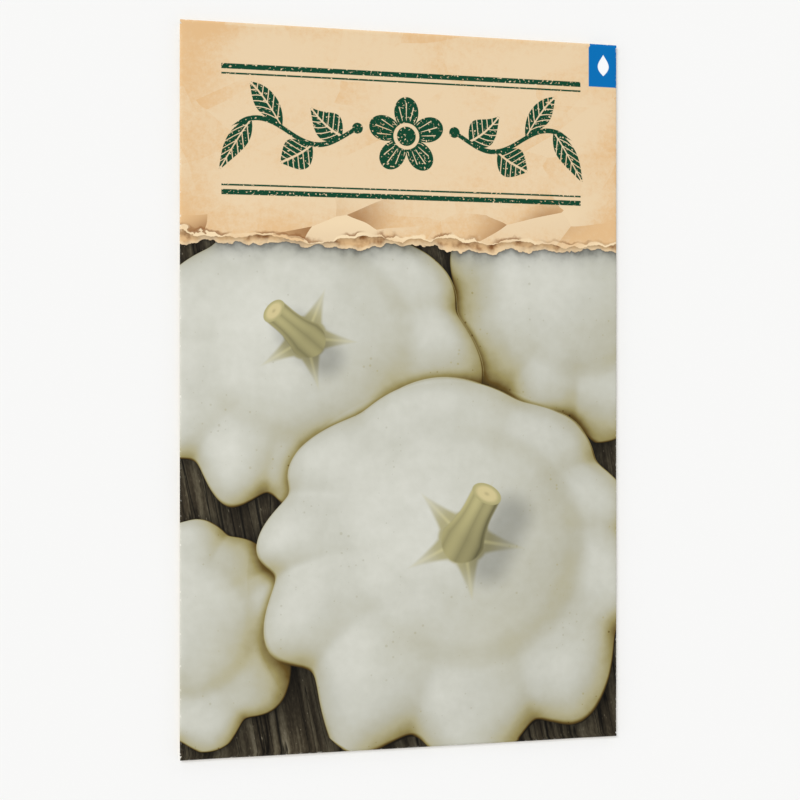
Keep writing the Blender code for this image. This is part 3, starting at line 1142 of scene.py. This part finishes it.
def seed_tree(sizes):
    """Lays a flat pointed seed with a raised margin on each point, turned its own way."""
    inputs = {"Length": sizes.seed_length, "Width": sizes.seed_width, "Thickness": sizes.seed_thickness}
    tree, g, given = geometry_graph("lay the seeds", inputs)
    ball = g.add("GeometryNodeMeshUVSphere", links={"Segments": 32, "Rings": 16, "Radius": 1.0})
    x, y, z = g.add("GeometryNodeInputPosition").parts()
    narrowed = 1 - x.smooth(-0.2, 1) * (1 + x * 0.4) * SEED_NARROWING
    from_margin = distance(x, y) - SEED_MARGIN
    margin = (from_margin * from_margin * -120).exponential() * 0.3
    swell = (abs(z) ** 0.7 * 0.8 + margin * abs(z).smooth(0, 0.3)) * z.sign()
    wide = y * narrowed * given["Width"] * 0.5
    shape = g.join(x * given["Length"] * 0.5, wide, swell * given["Thickness"] * 0.5)
    seed = g.add("GeometryNodeSetPosition", links={"Geometry": ball, "Position": shape})
    turn = g.add("GeometryNodeInputNamedAttribute", {"data_type": "FLOAT"}, {"Name": "turn"})
    links = {"Points": given["Geometry"], "Instance": seed, "Rotation": g.join(0, 0, turn)}
    return tree, g, g.add("GeometryNodeInstanceOnPoints", links=links), inputs


# Operators


def give_thickness(sheet, thickness, bare_slot):
    """Makes a wall of the printed sheet, whose inside and cut edges take the bare paper's slot."""
    wall = sheet.modifiers.new("paper thickness", "SOLIDIFY")
    wall.thickness = thickness
    wall.offset = 0
    wall.use_even_offset = True
    wall.material_offset = bare_slot
    wall.material_offset_rim = bare_slot


class FoldBag(bpy.types.Operator):
    """Fold and print the paper bag"""

    bl_idname = "seed_packet.fold_bag"
    bl_label = "Fold the Bag"

    def execute(self, context):
        sizes = context.scene.packet_sizes
        colours = context.scene.print_colours
        folds = folds_of(sizes)
        mesh = flat_sheet(sizes, folds)
        faces = len(mesh.polygons)
        bag = add_object("printed_bag", mesh)
        places = add_object("seed places", seed_places())
        tree, graph, folded, values = folding_tree(sizes, folds)
        zones = printed_zones(graph, colours, folds)
        finish_tree(graph, folded, zones)
        for material, _ in zones:
            mesh.materials.append(material)
        mesh.materials.append(bare_material(colours))
        run_tree(bag, tree, values | {"Seeds": places})
        give_thickness(bag, sizes.paper, len(zones))
        make_plain(bag)
        lay_out_bake_map(bag.data, faces, sizes, folds)
        bag.data.shade_smooth()
        bag.data.set_sharp_from_angle(angle=SHARP_ANGLE)
        bpy.data.objects.remove(places)
        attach(bag, "root")
        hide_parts("paper_bag")
        return {"FINISHED"}


class FillBag(bpy.types.Operator):
    """Lay the seeds inside the bag"""

    bl_idname = "seed_packet.fill_bag"
    bl_label = "Fill the Bag"

    def execute(self, context):
        seeds = add_object("squash_seeds", seed_places())
        tree, graph, laid, values = seed_tree(context.scene.packet_sizes)
        finish_tree(graph, laid, [(seed_material(context.scene.print_colours), True)])
        run_tree(seeds, tree, values)
        make_plain(seeds)
        seeds.data.shade_smooth()
        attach(seeds, "root")
        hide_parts(*SEED_NODES)
        return {"FINISHED"}


class GlueBag(bpy.types.Operator):
    """Give the lines of dried glue their finish"""

    bl_idname = "seed_packet.glue_bag"
    bl_label = "Glue the Bag"

    def execute(self, context):
        material = glue_material(context.scene.print_colours)
        for name in GLUE_NODES:
            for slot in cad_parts[name].material_slots:
                slot.material = material
        return {"FINISHED"}


class SetStage(bpy.types.Operator):
    """Add the floor, the lights and the camera"""

    bl_idname = "seed_packet.set_stage"
    bl_label = "Set the Stage"

    def execute(self, context):
        studio = context.scene.studio
        add_floor(studio)
        add_lights(context, studio)
        add_camera(context, studio)
        return {"FINISHED"}


FLOOR_RADIUS = 5.0
FLOOR_DROP = 0.05 * MM
KEY_FROM = (-0.55, 0.5, 0.85)
KEY_SPREAD = math.radians(28)


def add_floor(studio):
    bm = bmesh.new()
    bmesh.ops.create_circle(bm, cap_ends=True, segments=96, radius=FLOOR_RADIUS)
    mesh = bpy.data.meshes.new("floor")
    bm.to_mesh(mesh)
    bm.free()
    mesh.transform(Matrix.Translation((0, 0, -FLOOR_DROP)))
    material, graph, shader = material_graph("floor")
    graph.plug(shader.inputs["Base Color"], tuple(studio.floor))
    shader.inputs["Roughness"].default_value = 1.0
    shader.inputs["Specular IOR Level"].default_value = 0.0
    mesh.materials.append(material)
    add_object("floor", mesh)


def add_lights(context, studio):
    """A soft light from the upper left, in a studio whose walls are as bright as the floor."""
    world = bpy.data.worlds.new("studio")
    world.use_nodes = True
    graph = Graph(world.node_tree)
    height = graph.add("ShaderNodeTexCoord").parts()[2]
    brightness = studio.overhead + (studio.horizon - studio.overhead) * height.smooth(0.6, 0.25)
    background = world.node_tree.nodes["Background"]
    background.inputs["Color"].default_value = (1, 1, 1, 1)
    graph.plug(background.inputs["Strength"], brightness)
    context.scene.world = world
    light = bpy.data.lights.new("key", "SUN")
    light.energy = studio.key
    light.angle = KEY_SPREAD
    key = add_object("key", light)
    key.rotation_euler = Vector(KEY_FROM).to_track_quat("Z", "Y").to_euler()
    context.scene.view_settings.view_transform = "Standard"


CAMERA_YAW = math.radians(12.77)
CAMERA_PLACE = Vector((-62.8, -1.95, 272.6)) * MM


def add_camera(context, studio):
    data = bpy.data.cameras.new("camera")
    data.lens = studio.lens
    data.sensor_width = 36
    camera = add_object("camera", data)
    right = Vector((math.cos(CAMERA_YAW), 0, math.sin(CAMERA_YAW)))
    up = Vector((0, 1, 0))
    camera.matrix_world = Matrix((right, up, right.cross(up))).transposed().to_4x4()
    camera.location = CAMERA_PLACE
    context.scene.camera = camera


class SeedPacketPanel(bpy.types.Panel):
    bl_idname = "VIEW3D_PT_seed_packet"
    bl_label = "Seed Packet"
    bl_space_type = "VIEW_3D"
    bl_region_type = "UI"
    bl_category = "Seed Packet"

    def draw(self, context):
        for operator in OPERATORS:
            self.layout.operator(operator.bl_idname)
        for group in ("packet_sizes", "print_colours", "studio"):
            settings = getattr(context.scene, group)
            box = self.layout.box()
            for name in settings.__annotations__:
                box.prop(settings, name)


GROUPS = {"packet_sizes": PacketSizes, "print_colours": PrintColours, "studio": StudioSettings}
OPERATORS = (FoldBag, FillBag, GlueBag, SetStage)


def register():
    for cls in (*GROUPS.values(), *OPERATORS, SeedPacketPanel):
        bpy.utils.register_class(cls)
    for name, group in GROUPS.items():
        setattr(bpy.types.Scene, name, PointerProperty(type=group))


def unregister():
    for name in GROUPS:
        delattr(bpy.types.Scene, name)
    for cls in (SeedPacketPanel, *reversed(OPERATORS), *reversed(GROUPS.values())):
        bpy.utils.unregister_class(cls)


def main():
    register()
    bpy.ops.seed_packet.fold_bag()
    bpy.ops.seed_packet.fill_bag()
    bpy.ops.seed_packet.glue_bag()
    bpy.ops.seed_packet.set_stage()


if __name__ == "__main__":
    main()
